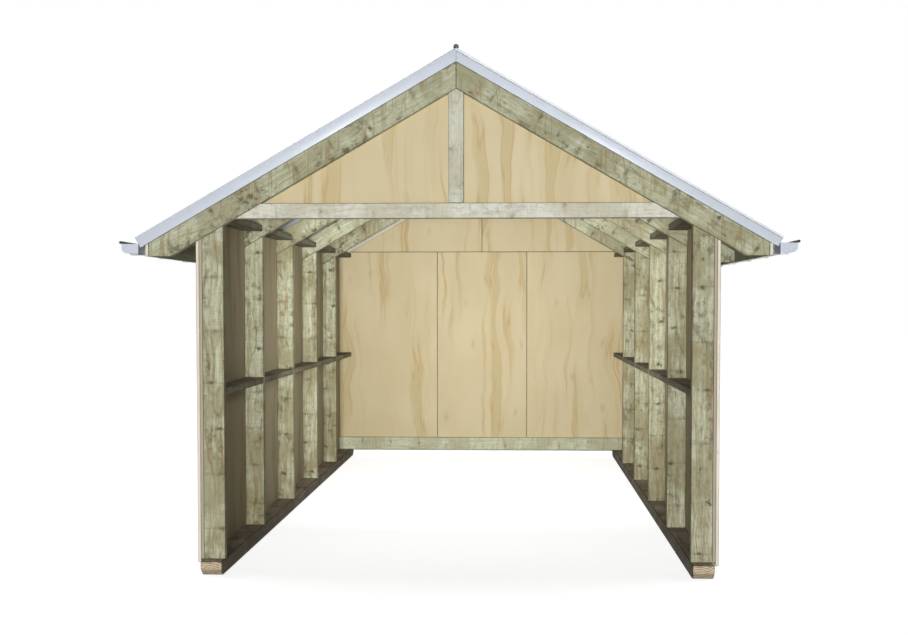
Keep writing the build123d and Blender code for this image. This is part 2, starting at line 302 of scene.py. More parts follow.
def ply_figure():
    """Rotary cut veneer: soft upright bands that sway, thin seams beside them, faint knots and pores."""
    group = new_group("ply_figure", ("Shift", "Sway"), ("Band", "Seam", "Cloud", "Smudge", "Pore", "Layer"))
    s = Shade(group)
    given = s.add("NodeGroupInput").outputs
    out = s.add("NodeGroupOutput").inputs
    along, wide, thick, tone = grain_place(s, given["Shift"])
    sway = s.math("SUBTRACT", s.noise(s.stretch((along, wide, tone), (1.7, 1.6, 4.0)), 1.5), 0.5)
    bent = (along, s.plus(wide, s.times(sway, given["Sway"])), tone)
    figure = s.noise(s.stretch(bent, (0.6, 10.0, 31.0)), 2.0, 0.5)
    clump = s.span(s.noise(s.stretch(bent, (0.35, 2.6, 19.0)), 0.0), 0.42, 0.56)
    s.put(out["Band"], s.times(s.span(figure, 0.42, 0.64), clump))
    s.put(out["Seam"], s.times(s.around(figure, 0.57, 0.03), clump))
    s.put(out["Cloud"], s.noise(s.stretch((along, wide, tone), (1.3, 2.4, 7.0)), 3.0))
    spots = s.add("ShaderNodeTexVoronoi", None, Vector=s.stretch(bent, (2.2, 4.6, 13.0)), Scale=1.0)
    drawn = s.span(s.xyz(spots.outputs["Color"])[0], 0.3, 0.6)
    s.put(out["Smudge"], s.times(s.span(spots.outputs["Distance"], 0.19, 0.02), drawn))
    s.put(out["Pore"], s.noise(s.stretch((along, wide, thick), (12.0, 300.0, 300.0))))
    s.put(out["Layer"], s.span(s.math("SINE", s.times(thick, 1570.0)), -0.3, 0.3))
    return group


def paint_figure():
    """Painted steel: faint mottling, thin dust in streaks down the slope or wall, fine grit."""
    group = new_group("paint_figure", ("Streaks",), ("Mottle", "Dust", "Grit"))
    s = Shade(group)
    given = s.add("NodeGroupInput").outputs
    out = s.add("NodeGroupOutput").inputs
    place = s.xyz(s.geometry("Position"))
    s.put(out["Mottle"], s.noise(s.stretch(place, (5.0, 5.0, 5.0)), 4.0))
    s.put(out["Dust"], s.noise(s.stretch(place, (1.5, given["Streaks"], 1.5)), 4.0, 0.6))
    s.put(out["Grit"], s.noise(s.stretch(place, (260.0, 260.0, 260.0))))
    return group


TIMBER, PLY, PAINT = timber_figure(), ply_figure(), paint_figure()


def start_material(name, group, **given):
    """A material with a figure group set to its own values: the material, its tree, shader and figure."""
    material = bpy.data.materials.new(name)
    material.use_nodes = True
    tree = material.node_tree
    shader = tree.nodes["Principled BSDF"]
    figure = tree.nodes.new("ShaderNodeGroup")
    figure.node_tree = group
    for label, value in given.items():
        figure.inputs[label].default_value = value
    return material, Shade(tree), shader, figure.outputs


def tint(colour, *shares):
    """A colour darkened by one share, or by one share for each of its three parts."""
    shares = shares * 3 if len(shares) == 1 else shares
    return srgb(*[v * w for v, w in zip(colour, shares)])


def pine(name, light, mid, dark, vein=0.6, drip=0.4, mould=0.3, knots=1.0, edge_and_side_shade=0.7, end=None):
    """Weathered sawn timber, from its pale early wood to its dark bands."""
    material, s, shader, fig = start_material(name, TIMBER, Shift=TIMBER_SHIFT, Whorls=WHORLS_A_METRE)
    rust = tint(dark, 0.98, 0.86, 0.79)
    eye = tint(dark, 0.5, 0.52, 0.5)
    body = s.mix(s.span(fig["Streak"], 0.36, 0.64), srgb(*mid), srgb(*light))
    body = s.mix(s.times(fig["Zone"], 0.6), body, srgb(*dark))
    body = s.mix(s.span(fig["Speck"], 0.48, 0.68, 0.0, 0.5), body, tint(dark, 0.9))
    body = s.mix(s.span(fig["Saw"], 0.45, 0.75, 0.0, 0.3), body, srgb(*dark))
    body = s.mix(s.span(fig["Fibre"], 0.4, 0.75, 0.0, 0.3), body, srgb(*dark))
    body = s.mix(s.times(fig["Vein"], vein), body, rust)
    body = s.mix(s.times(fig["Check"], 0.5 * knots), body, tint(dark, 0.66))
    body = s.mix(s.times(fig["Drip"], drip), body, rust)
    body = s.mix(s.times(fig["Mould"], mould), body, tint(dark, 0.6))
    body = s.mix(s.times(fig["Whorl"], 0.5 * knots), body, eye)
    body = s.mix(s.times(fig["Knot"], 0.8 * knots), body, eye)
    # Marked faces go darker: eased edges, and the inward sides of studs and runners, where the darkening is
    # painted shade
    body = s.mix(s.times(s.attribute("mark", "Fac"), edge_and_side_shade), body, tint(dark, 0.5))
    cut = end or [v * 0.92 for v in mid]
    cut_face = s.mix(fig["Ring"], tint(cut, 0.76, 0.68, 0.6), srgb(*cut))
    cut_face = s.mix(s.span(fig["Speck"], 0.45, 0.7, 0.0, 0.5), cut_face, tint(cut, 0.7, 0.64, 0.58))
    s.put(shader.inputs["Base Color"], s.mix(fig["End"], body, cut_face))
    s.put(shader.inputs["Roughness"], s.span(fig["Streak"], 0.2, 0.8, 0.9, 0.75))
    shader.inputs["Specular IOR Level"].default_value = 0.2
    height = s.plus(s.times(fig["Fibre"], 0.4), s.times(fig["Saw"], 0.35), s.times(fig["Knot"], -0.4))
    bump = s.add("ShaderNodeBump", None, Strength=0.3, Distance=0.0015, Height=height)
    s.put(shader.inputs["Normal"], bump.outputs["Normal"])
    return material


def veneer(name, light, mid, band, seam, front=None):
    """Plywood face, with glue lines showing on its cut edges, and a front edge of another colour."""
    material, s, shader, fig = start_material(name, PLY, Shift=PLY_SHIFT, Sway=PLY_SWAY)
    body = s.mix(s.span(fig["Cloud"], 0.3, 0.7), srgb(*mid), srgb(*light))
    body = s.mix(s.times(fig["Band"], 0.75), body, srgb(*band))
    body = s.mix(s.times(fig["Seam"], 0.5), body, srgb(*seam))
    body = s.mix(s.times(fig["Smudge"], 0.3), body, tint(band, 0.82, 0.82, 0.84))
    body = s.mix(s.span(fig["Pore"], 0.5, 0.8, 0.0, 0.2), body, srgb(*band))
    mark = s.attribute("mark", "Fac")
    layers = s.mix(fig["Layer"], tint(band, 0.5), tint(mid, 0.8))
    if front:
        layers = s.mix(s.span(mark, EASED_MARK, FRONT_MARK), layers, srgb(*front))
    s.put(shader.inputs["Base Color"], s.mix(s.times(mark, 0.85), body, layers))
    s.put(shader.inputs["Roughness"], s.span(fig["Band"], 0.0, 1.0, 0.7, 0.8))
    shader.inputs["Specular IOR Level"].default_value = 0.2
    bump = s.add("ShaderNodeBump", None, Strength=0.15, Distance=0.0008, Height=fig["Pore"])
    s.put(shader.inputs["Normal"], bump.outputs["Normal"])
    return material


def board_paint(name, light, dark, marked):
    """Thinly stained boards, with the grain showing through and marked faces left raw; on the fascia's inner
    face that raw colour is darkened as painted shade.
    """
    material, s, shader, fig = start_material(name, TIMBER, Shift=TIMBER_SHIFT, Whorls=WHORLS_A_METRE)
    body = s.mix(s.span(fig["Streak"], 0.3, 0.75), srgb(*dark), srgb(*light))
    body = s.mix(s.span(s.attribute("tone", "Fac"), 0.0, 1.0, 0.0, 0.6), body, srgb(*dark))
    body = s.mix(s.span(fig["Fibre"], 0.5, 0.8, 0.0, 0.3), body, srgb(*dark))
    body = s.mix(s.times(fig["Vein"], 0.35), body, tint(dark, 0.93, 0.86, 0.78))
    body = s.mix(s.times(fig["Knot"], 0.35), body, tint(dark, 0.74, 0.64, 0.52))
    body = s.mix(s.times(fig["Drip"], 0.12), body, tint(dark, 0.8))
    raw_and_shaded = s.mix(s.span(fig["Streak"], 0.3, 0.75), tint(marked, 0.86), srgb(*marked))
    s.put(shader.inputs["Base Color"], s.mix(s.attribute("mark", "Fac"), body, raw_and_shaded))
    s.put(shader.inputs["Roughness"], s.span(fig["Fibre"], 0.2, 0.8, 0.55, 0.7))
    shader.inputs["Specular IOR Level"].default_value = 0.3
    bump = s.add("ShaderNodeBump", None, Strength=0.2, Distance=0.001, Height=fig["Fibre"])
    s.put(shader.inputs["Normal"], bump.outputs["Normal"])
    return material


def painted_steel(name, light, dark, rough=0.42, dust=0.35, marked=(96, 96, 94), valley=0.0):
    """Coated sheet steel with a light bloom of dust, valleys darkened with dirt and painted shade, and
    marked faces of another colour.
    """
    material, s, shader, fig = start_material(name, PAINT, Streaks=STREAKS_A_METRE)
    body = s.mix(s.span(fig["Mottle"], 0.35, 0.7), srgb(*light), srgb(*dark))
    valley_dirt_and_shade = tint(dark, 0.8, 0.78, 0.73)
    body = s.mix(s.span(fig["Dust"], 0.52, 0.8, 0.0, dust), body, tint(dark, 0.93, 0.91, 0.86))
    # Roof sheets: a tone of their own for each sheet, and valleys darkened with dirt and painted shade
    if valley:
        tones = s.span(s.attribute("tone", "Fac"), 0.0, 1.0, 0.0, 0.35)
        body = s.mix(tones, body, srgb(*dark))
        body = s.mix(s.times(s.attribute("valley", "Fac"), valley), body, valley_dirt_and_shade)
    other = s.mix(s.span(fig["Dust"], 0.35, 0.65), tint(marked, 0.8), srgb(*marked))
    mark = s.attribute("mark", "Fac")
    s.put(shader.inputs["Base Color"], s.mix(mark, body, other))
    dull = s.times(mark, 0.3)
    s.put(shader.inputs["Roughness"], s.plus(s.span(fig["Dust"], 0.3, 0.8, rough, rough + 0.2), dull))
    s.put(shader.inputs["Coat Weight"], s.span(mark, 0.0, 1.0, 0.15, 0.0))
    shader.inputs["Coat Roughness"].default_value = 0.3
    bump = s.add("ShaderNodeBump", None, Strength=0.05, Distance=0.0004, Height=fig["Grit"])
    s.put(shader.inputs["Normal"], bump.outputs["Normal"])
    return material


# Finishes by slot, and those of single pieces that differ from the rest of their slot
FINISH = {
    "frame_pine": pine("frame_pine", (205, 209, 184), (178, 177, 146), (145, 137, 102), 0.65, 0.4, 0.6),
    "rafter_pine": pine("rafter_pine", (202, 206, 180), (178, 178, 147), (150, 145, 113), 0.2, 0.65, 0.9),
    "truss_pine": pine("truss_pine", (226, 227, 215), (216, 216, 199), (192, 189, 165), 0.1, 0.25, 0.3, 0.5),
    "post_pine": pine("post_pine", (217, 218, 204), (206, 206, 188), (184, 181, 156), 0.1, 0.25, 0.3, 0.5),
    # Nogs are the frame's pine in darker colours, which paint the shade on their tops and sides
    "nog_pine": pine("nog_pine", (132, 131, 112), (115, 113, 95), (92, 87, 70)),
    "rail_pine": pine("rail_pine", (218, 222, 196), (206, 209, 180), (180, 178, 147), 0.2, 0.5, 0.2, 0.5),
    # Runners are darker than the frame: painted shade on their tops and sides, with a bright cut end
    "runner_pine": pine(
        "runner_pine",
        (146, 138, 121),
        (127, 119, 103),
        (98, 89, 74),
        mould=0.5,
        edge_and_side_shade=0.95,
        end=(216, 204, 178),
    ),
    "purlin_pine": pine("purlin_pine", (176, 173, 146), (158, 154, 127), (132, 124, 97)),
    "plywood": veneer("plywood", (217, 203, 167), (211, 196, 158), (200, 182, 137), (194, 154, 108)),
    # The side walls' lining is the same ply in darker colours, which paint the shade inside the bay; its
    # front edge keeps a lighter colour
    "wall_plywood": veneer(
        "wall_plywood", (146, 136, 111), (139, 129, 104), (130, 119, 93), (126, 109, 84), (180, 168, 153)
    ),
    "batten_pine": board_paint("batten_pine", (240, 236, 222), (222, 216, 198), (222, 216, 198)),
    "cladding_pine": board_paint("cladding_pine", (246, 241, 224), (226, 219, 197), (176, 166, 140)),
    # The fascia's marked inner face is raw timber, darkened as painted shade
    "fascia_pine": board_paint("fascia_pine", (244, 240, 223), (224, 218, 197), (128, 129, 112)),
    # The gutter's marked colour is dirt and painted shade inside it, and painted shade on its rim
    "gutter_steel": painted_steel("gutter_steel", (206, 213, 224), (198, 206, 218), marked=(62, 63, 66)),
    "bracket_steel": painted_steel("bracket_steel", (78, 80, 86), (64, 66, 72), 0.5, marked=(226, 230, 236)),
    "roof_iron": painted_steel("roof_iron", (203, 210, 222), (194, 202, 215), 0.38, valley=0.55),
    "flashing_steel": painted_steel("flashing_steel", (205, 212, 222), (199, 207, 217)),
    # The hem's marked colour is the painted shadow line under its fold
    "hem_steel": painted_steel("hem_steel", (229, 233, 239), (222, 227, 234), marked=(112, 114, 122)),
    "screw_zinc": painted_steel("screw_zinc", (168, 172, 178), (146, 150, 156), 0.35),
    "nail_zinc": painted_steel("nail_zinc", (176, 174, 168), (150, 147, 140), 0.4),
}

# Tones of lengths, sheets and boards are drawn from chance, and folded metal and fillers have an even one
chance = random.Random(7)
EVEN_TONE = 0.5


def faces_joined_to(seed, seen):
    """All faces that hang together with a first one, noting their numbers as seen."""
    seen.add(seed.index)
    island = [seed]
    for face in island:
        for other in [f for edge in face.edges for f in edge.link_faces]:
            if other.index not in seen:
                seen.add(other.index)
                island.append(other)
    return island


def copied_faces(island):
    """A mesh of its own made of some faces, with normals outward."""
    part = bmesh.new()
    made = {}
    for face in island:
        for vert in face.verts:
            if vert not in made:
                made[vert] = part.verts.new(vert.co)
        part.faces.new([made[v] for v in face.verts])
    bmesh.ops.recalc_face_normals(part, faces=part.faces[:])
    return part


def from_the_front(part):
    """Sorting key: lowest corner from front to back, then from left to right."""
    return [round(min(v.co[i] for v in part.verts), 4) for i in (1, 0)]


def solids_of(node):
    """The separate solids of one CAD node, welded and with flat faces whole."""
    whole = bmesh.new()
    whole.from_mesh(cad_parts[node].data)
    bmesh.ops.remove_doubles(whole, verts=whole.verts[:], dist=WELD)
    flat = math.radians(FLAT_TURN)
    bmesh.ops.dissolve_limit(whole, angle_limit=flat, verts=whole.verts[:], edges=whole.edges[:])
    whole.faces.index_update()
    seen, solids = set(), []
    for face in whole.faces:
        if face.index not in seen:
            solids.append(copied_faces(faces_joined_to(face, seen)))
    whole.free()
    return sorted(solids, key=from_the_front)


def soften(part, width, crisp=None):
    """Eases sharp edges but the one farthest in a crisp direction, and marks the eased strips."""
    mark = part.faces.layers.int.new("mark")
    turn = math.radians(SHARP_TURN)
    sharp = [e for e in part.edges if len(e.link_faces) == 2 and e.calc_face_angle(0.0) > turn]
    if crisp:
        reach = max(v.co.dot(crisp) for v in part.verts) - WELD
        sharp = [e for e in sharp if any(v.co.dot(crisp) < reach for v in e.verts)]
    eased = bmesh.ops.bevel(
        part, geom=sharp, offset=width, segments=2, profile=0.5, affect="EDGES", clamp_overlap=True
    )
    for face in eased["faces"]:
        face[mark] = EASED_MARK


def along_of(part):
    """Direction of the longest edge, which is the way a board's grain runs."""
    longest = max(part.edges, key=lambda e: e.calc_length())
    return (longest.verts[1].co - longest.verts[0].co).normalized()


def grain_frame(part, along):
    """Unit directions along a piece's grain, across its width and through its thickness."""
    if along[max(range(3), key=lambda i: abs(along[i]))] < 0:
        along = -along
    helper = Vector((0, 0, 1)) if abs(along.z) < SQUARE else Vector((0, 1, 0))
    one = (helper - along * helper.dot(along)).normalized()
    two = along.cross(one)

    def spread(way):
        reach = [v.co.dot(way) for v in part.verts]
        return max(reach) - min(reach)

    return (along, one, two) if spread(one) > spread(two) else (along, two, one)


def mark_cut_sides(part, along):
    """Marks a sheet's narrow sides as edge faces, so that its layers show there."""
    mark = part.faces.layers.int["mark"]
    thick = grain_frame(part, along)[2]
    part.normal_update()
    for face in part.faces:
        if abs(face.normal.dot(thick)) < MOSTLY:
            face[mark] = EASED_MARK


def join_parts(name, parts, axes, tones):
    """One mesh of many solids, each keeping its own grain frame as attributes."""
    verts, faces, grain, axis, tone, marks = [], [], [], [], [], []
    for part, along, shade in zip(parts, axes, tones):
        part.verts.index_update()
        base = len(verts)
        ways = grain_frame(part, along)
        middle = sum((v.co for v in part.verts), Vector()) / len(part.verts)
        for vert in part.verts:
            verts.append(vert.co[:])
            grain += [(vert.co - middle).dot(way) for way in ways]
            axis += ways[0][:]
            tone.append(shade)
        mark = part.faces.layers.int.get("mark")
        for face in part.faces:
            faces.append([base + v.index for v in face.verts])
            marks.append(float(face[mark]) if mark else 0.0)
        part.free()
    return new_piece(name, verts, faces, {"grain": grain, "axis": axis, "tone": tone}, marks)


def new_object(name, data):
    """A new object of some data, put into the scene."""
    made = bpy.data.objects.new(name, data)
    bpy.context.scene.collection.objects.link(made)
    return made


def new_piece(name, verts, faces, values=None, marks=None):
    """An object of its own mesh, with values or vectors on its points and a mark on each face."""
    mesh = bpy.data.meshes.new(name)
    mesh.from_pydata(verts, [], faces)
    for label, row in (values or {}).items():
        kind, field = ("FLOAT", "value") if len(row) == len(verts) else ("FLOAT_VECTOR", "vector")
        mesh.attributes.new(label, kind, "POINT").data.foreach_set(field, row)
    if marks:
        mesh.attributes.new("mark", "FLOAT", "FACE").data.foreach_set("value", marks)
    mesh.update()
    return new_object(name, mesh)


def finish_piece(piece, slot, *nodes, finish=None):
    """Gives a piece the material of its slot or of its own finish, and its place on the fixed body, and
    hides the nodes it stands for.
    """
    piece.data.materials.append(FINISH[finish or slot])
    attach(piece, "root")
    if nodes:
        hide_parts(*nodes)
    return piece


def dress_timber(node, slot, edge=TIMBER_ARRIS, along=None, finish=None, crisp=None):
    """A timber node with eased edges and its own grain on every length."""
    parts = solids_of(node)
    axes = [Vector(along) if along else along_of(p) for p in parts]
    tones = [chance.random() for _ in parts]
    for part in parts:
        soften(part, edge, crisp)
    piece = join_parts(node + "_sawn", parts, axes, tones)
    return finish_piece(piece, slot, node, finish=finish)


def mark_faces(piece, share):
    """Marks faces of a piece by a share found from their middle and normal, where it isn't nothing."""
    marks = piece.data.attributes["mark"].data
    for face, mark in zip(piece.data.polygons, marks):
        mark.value = float(share(face.center, face.normal)) or mark.value


def sheet_nails(parts, way):
    """Nails down both long edges and the middle of each upright sheet."""
    spots = []
    for part in parts:
        face = max(v.co.dot(way) for v in part.verts)
        lows, highs = [[pick(v.co[i] for v in part.verts) for i in (0, 2)] for pick in (min, max)]
        left, right = lows[0] + SHEET_MARGIN, highs[0] - SHEET_MARGIN
        rows = round((highs[1] - lows[1]) / SHEET_NAILING)
        for row in range(rows + 1):
            z = lows[1] + SHEET_MARGIN + (highs[1] - lows[1] - 2 * SHEET_MARGIN) * row / rows
            for x in (left, (left + right) / 2, right):
                spots.append((Vector((x, 0, z)) + way * face, way))
    return spots


def dress_sheets(node, slot, nail_way=None, crisp=None):
    """Sheets of a ply node, upright in grain, with their cut edges eased."""
    parts = solids_of(node)
    upright = Vector((0, 0, 1))
    if nail_way:
        nails = sheet_nails(parts, Vector(nail_way))
        turned_heads(node + "_nails", "bracket_steel", "nail_zinc", nails, NAIL)
    for part in parts:
        soften(part, SHEET_ARRIS, crisp)
        mark_cut_sides(part, upright)
    tones = [chance.random() for _ in parts]
    return finish_piece(join_parts(node + "_veneer", parts, [upright] * len(parts), tones), slot, node)


def loft_faces(base, rows, around, flip=False):
    """Faces of a run of equal rings of points, closed at both ends."""
    faces = []
    for first in range(base, base + (rows - 1) * around, around):
        for k in range(around):
            n = (k + 1) % around
            faces.append([first + k, first + n, first + around + n, first + around + k])
    faces.append([base + k for k in reversed(range(around))])
    faces.append([base + (rows - 1) * around + k for k in range(around)])
    return [face[::-1] for face in faces] if flip else faces


def turned_heads(name, slot, finish, spots, profile):
    """Many small heads of one turned profile, each standing on its own spot."""
    verts, faces = [], []
    for spot, way in spots:
        one = way.orthogonal().normalized()
        two = way.cross(one)
        faces += loft_faces(len(verts), len(profile), HEAD_SIDES)
        for radius, height in profile:
            for k in range(HEAD_SIDES):
                turn = 2 * math.pi * k / HEAD_SIDES
                ring = (one * math.cos(turn) + two * math.sin(turn)) * radius
                verts.append((spot + way * height + ring)[:])
    return finish_piece(new_piece(name, verts, faces), slot, finish=finish)


def cut_board(part, along_wall, low, high):
    """A copy of a wall's cladding cut off at both sides of one board, with half a joint left at each."""
    board = part.copy()
    wall = [v.co.dot(along_wall) for v in part.verts]
    for place, way in ((low, -1), (high, 1)):
        if min(wall) + NEAR < place < max(wall) - NEAR:
            cut = bmesh.ops.bisect_plane(
                board,
                geom=board.verts[:] + board.edges[:] + board.faces[:],
                plane_co=along_wall * (place - way * BOARD_GAP / 2),
                plane_no=along_wall * way,
                clear_outer=True,
            )
            rim = [e for e in cut["geom_cut"] if isinstance(e, bmesh.types.BMEdge)]
            bmesh.ops.edgeloop_fill(board, edges=rim)
    bmesh.ops.recalc_face_normals(board, faces=board.faces[:])
    return board


def board_nails(board, lines, outward):
    """Nails in rows up one board, on lines across the wall, from its foot to its shorter side's head."""
    heights = [v.co.z for v in board.verts]
    foot = min(heights) + NAIL_MARGIN
    head = min(z for z in heights if z > foot + NAIL_MARGIN) - NAIL_MARGIN
    spots = []
    for row in range(NAIL_ROWS):
        up = Vector((0, 0, foot + (head - foot) * row / (NAIL_ROWS - 1)))
        spots += [(line + up, outward) for line in lines]
    return spots


def cut_boards(node, slot, along_wall):
    """Cladding cut into upright boards with a V joint between them, nailed on."""
    along_wall, upright = Vector(along_wall), Vector((0, 0, 1))
    boards, tones, nails = [], [], []
    for part in solids_of(node):
        outward = upright.cross(along_wall)
        if sum(v.co.dot(outward) for v in part.verts) < 0:
            outward = -outward
        face = outward * max(v.co.dot(outward) for v in part.verts)
        wall = [v.co.dot(along_wall) for v in part.verts]
        low = min(wall)
        count = max(1, round((max(wall) - low) / BOARD_WIDE))
        step = (max(wall) - low) / count
        for i in range(count):
            board = cut_board(part, along_wall, low + i * step, low + (i + 1) * step)
            lines = [face + along_wall * (low + (i + share) * step) for share in NAIL_SHARES]
            nails += board_nails(board, lines, outward)
            soften(board, BOARD_ARRIS)
            boards.append(board)
            tones.append(chance.random())
        part.free()
    turned_heads(node + "_nails", "bracket_steel", "nail_zinc", nails, NAIL)
    return finish_piece(join_parts(node + "_boards", boards, [upright] * len(boards), tones), slot, node)


def dress_metal(node, slot, angle, edge=0.0, seam=None):
    """A folded metal node with smooth rolls and crisp folds, its faces parted at a seam if it has one."""
    parts = solids_of(node)
    for part in parts:
        if seam:
            whole = part.verts[:] + part.edges[:] + part.faces[:]
            bmesh.ops.bisect_plane(part, geom=whole, plane_co=seam, plane_no=Vector(seam).normalized())
        if edge:
            soften(part, edge)
    count = len(parts)
    piece = join_parts(node + "_folded", parts, [Vector((0, 1, 0))] * count, [EVEN_TONE] * count)
    piece.data.shade_smooth()
    piece.data.set_sharp_from_angle(angle=math.radians(angle))
    return finish_piece(piece, slot, node)


# Places read from the right-hand solids, which the left mirrors, in metres
TAIL_OUT, _, TOP_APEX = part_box("right_rafters")[1]
FASCIA_LOW, FASCIA_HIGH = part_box("right_fascia")
PITCH = math.atan2(TOP_APEX - FASCIA_HIGH.z, TAIL_OUT)


def on_slope(side, along, above, y):
    """A point so far down the roof slope from the ridge, and so far above the rafters."""
    x = along * math.cos(PITCH) + above * math.sin(PITCH)
    z = TOP_APEX - along * math.sin(PITCH) + above * math.cos(PITCH)
    return (side * x, y, z)


def to_slope(point):
    """How far a right-hand point lies down the roof slope, and how far above the rafters."""
    drop = TOP_APEX - point.z
    along = point.x * math.cos(PITCH) + drop * math.sin(PITCH)
    return along, point.x * math.sin(PITCH) - drop * math.cos(PITCH)


def slope_reach(node):
    """The least and the most that a right-hand node reaches down the slope and above the rafters."""
    places = [to_slope(v.co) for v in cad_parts[node].data.vertices]
    return [[pick(column) for column in zip(*places)] for pick in (min, max)]


def lip_of(node):
    """The place of a node's top corner farthest down the slope."""
    places = [to_slope(v.co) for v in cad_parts[node].data.vertices]
    reach = max(along for along, _ in places)
    return reach, max(above for along, above in places if along > reach - NEAR)


(SHEET_START, PURLIN_HIGH), (ROOF_END, CREST_HIGH) = slope_reach("right_roof_sheet")
BARGE_HIGH = slope_reach("right_front_barge")[1][1]
BARGE_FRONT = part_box("right_front_barge")[0].y
CAP_REACH, CAP_HIGH = lip_of("ridge_cap")
PURLIN_LINES = sorted(
    sum(to_slope(v.co)[0] for v in part.verts) / len(part.verts) for part in solids_of("right_purlins")
)
ROOF_FRONT, ROOF_BACK = [corner.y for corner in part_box("right_roof_sheet")]
WAVE_COUNT = round((ROOF_BACK - ROOF_FRONT) / WAVE_LONG)
WAVE_PITCH = (ROOF_BACK - ROOF_FRONT) / WAVE_COUNT
WAVE_DEEP = CREST_HIGH - PURLIN_HIGH - SOLID_SKIN
GUTTER_LOW, GUTTER_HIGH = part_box("right_gutter")
RIM_BASE = GUTTER_HIGH.z - RIM_ROUND + RIM_SLACK
RIM_BACK = GUTTER_HIGH.x - RIM_ROUND - RIM_SLACK


def wave_share(waves):
    """Share of the corrugation's depth at a count of waves from the front."""
    return 0.5 - 0.5 * math.cos(2 * math.pi * (waves - WAVE_SHIFT))


def crest_place(wave):
    """Place along the roof of a wave's crest, half a wave past its start."""
    return ROOF_FRONT + (wave + 0.5 + WAVE_SHIFT) * WAVE_PITCH


def corrugated_slope(side, label):
    """Roof sheets laid side by side, each lapping the last by one corrugation."""
    verts, faces, valley, tone = [], [], [], []
    for first in range(0, WAVE_COUNT, SHEET_WAVES):
        shade = chance.random()
        waves = min(SHEET_WAVES + 1, WAVE_COUNT - first)
        lift = LAP_RISE if (first // SHEET_WAVES) % 2 else 0.0
        rows = waves * WAVE_STEPS + 1
        faces += loft_faces(len(verts), rows, SECTION_CORNERS, side < 0)
        for j in range(rows):
            y = ROOF_FRONT + (first + j / WAVE_STEPS) * WAVE_PITCH
            share = wave_share(j / WAVE_STEPS)
            low = PURLIN_HIGH + WAVE_DEEP * share + lift
            high = low + IRON_SKIN
            ring = ((SHEET_START, low), (ROOF_END, low), (ROOF_END, high), (SHEET_START, high))
            verts += [on_slope(side, along, above, y) for along, above in ring]
            valley += [1.0 - share] * len(ring)
            tone += [shade] * len(ring)
    piece = new_piece(label, verts, faces, {"valley": valley, "tone": tone})
    piece.data.shade_smooth()
    piece.data.set_sharp_from_angle(angle=math.radians(WAVE_FOLD))
    return piece


def roof_screws(side, label):
    """Screws on crests a few waves apart, over each purlin and along the ridge cap."""
    way = Vector((side * math.sin(PITCH), 0, math.cos(PITCH)))
    crest = PURLIN_HIGH + WAVE_DEEP + IRON_SKIN
    lines = [(CAP_REACH - CAP_EDGE, CAP_HIGH)] + [(along, crest) for along in PURLIN_LINES[1:]]
    spots = []
    for along, above in lines:
        for wave in range(SCREW_WAVES, WAVE_COUNT - BARE_WAVES, SCREW_WAVES):
            spots.append((Vector(on_slope(side, along, above, crest_place(wave))), way))
    turned_heads(label, "roof_iron", "screw_zinc", spots, SCREW)


def eave_filler(side, label):
    """Scribed fillet on the fascia, filling up to the underside of the corrugated iron."""
    rows = WAVE_COUNT * FILLER_STEPS + 1
    part = bmesh.new()
    verts = []
    for j in range(rows):
        y = FASCIA_LOW.y + (FASCIA_HIGH.y - FASCIA_LOW.y) * j / (rows - 1)
        above = PURLIN_HIGH + WAVE_DEEP * wave_share((y - ROOF_FRONT) / WAVE_PITCH) - FILLER_SLACK
        foot, ridge = FASCIA_HIGH.z, TOP_APEX + above / math.cos(PITCH)
        inner, outer = FASCIA_LOW.x, FASCIA_HIGH.x
        tops = [(x, ridge - x * math.tan(PITCH)) for x in (outer, inner)]
        corners = [(inner, foot), (outer, foot)] + tops
        verts += [part.verts.new((side * x, y, z)) for x, z in corners]
    for face in loft_faces(0, rows, SECTION_CORNERS, side < 0):
        part.faces.new([verts[i] for i in face])
    finish_piece(join_parts(label, [part], [Vector((0, 1, 0))], [EVEN_TONE]), "purlin_pine")


def barge_hem(side, label):
    """Folded white hem along the top of a front barge, with a dark line of painted shadow under it."""
    verts, faces, marks = [], [], []
    for low, high, proud in ((0.0, HEM_FOLD, HEM_FOLD_PROUD), (HEM_FOLD, HEM_LINE, HEM_LINE_PROUD)):
        base = len(verts)
        for along in (0.0, ROOF_END):
            for above in (BARGE_HIGH - high, BARGE_HIGH - low):
                for y in (BARGE_FRONT, BARGE_FRONT - proud):
                    x, _, z = on_slope(side, along, above, y)
                    if not along:
                        x, z = 0.0, TOP_APEX + above / math.cos(PITCH)
                    verts.append((x, y, z))
        for face in BOX_SIDES:
            faces.append([base + i for i in (face if side > 0 else face[::-1])])
            marks.append(1.0 if low else 0.0)
    finish_piece(new_piece(label, verts, faces, marks=marks), "flashing_steel", finish="hem_steel")


def side_frame(side, out):
    """Runners, studs, rafters, nogs, purlins and fascia of one side."""
    # The inward sides of runners and studs are marked darker, as painted shade
    for end in ("front", "back"):
        runner = dress_timber(f"{side}_{end}_runner", "runner_pine", RUNNER_ARRIS, crisp=Vector((out, 0, 1)))
        mark_faces(runner, lambda middle, normal: RUNNER_SHADE * (-normal.x * out > SQUARE))
    studs = dress_timber(f"{side}_studs", "frame_pine", along=(0, 0, 1))
    mark_faces(studs, lambda middle, normal: STUD_SHADE * (-normal.x * out > SQUARE))
    dress_timber(f"{side}_rafters", "frame_pine", finish="rafter_pine")
    dress_timber(f"{side}_mid_nogs", "nog_pine")
    dress_timber(f"{side}_top_nogs", "nog_pine")
    dress_timber(f"{side}_purlins", "purlin_pine")
    # The fascia's inward face is marked, for a raw colour darkened as painted shade
    fascia = dress_timber(f"{side}_fascia", "fascia_pine")
    mark_faces(fascia, lambda middle, normal: -normal.x * out > MOSTLY)


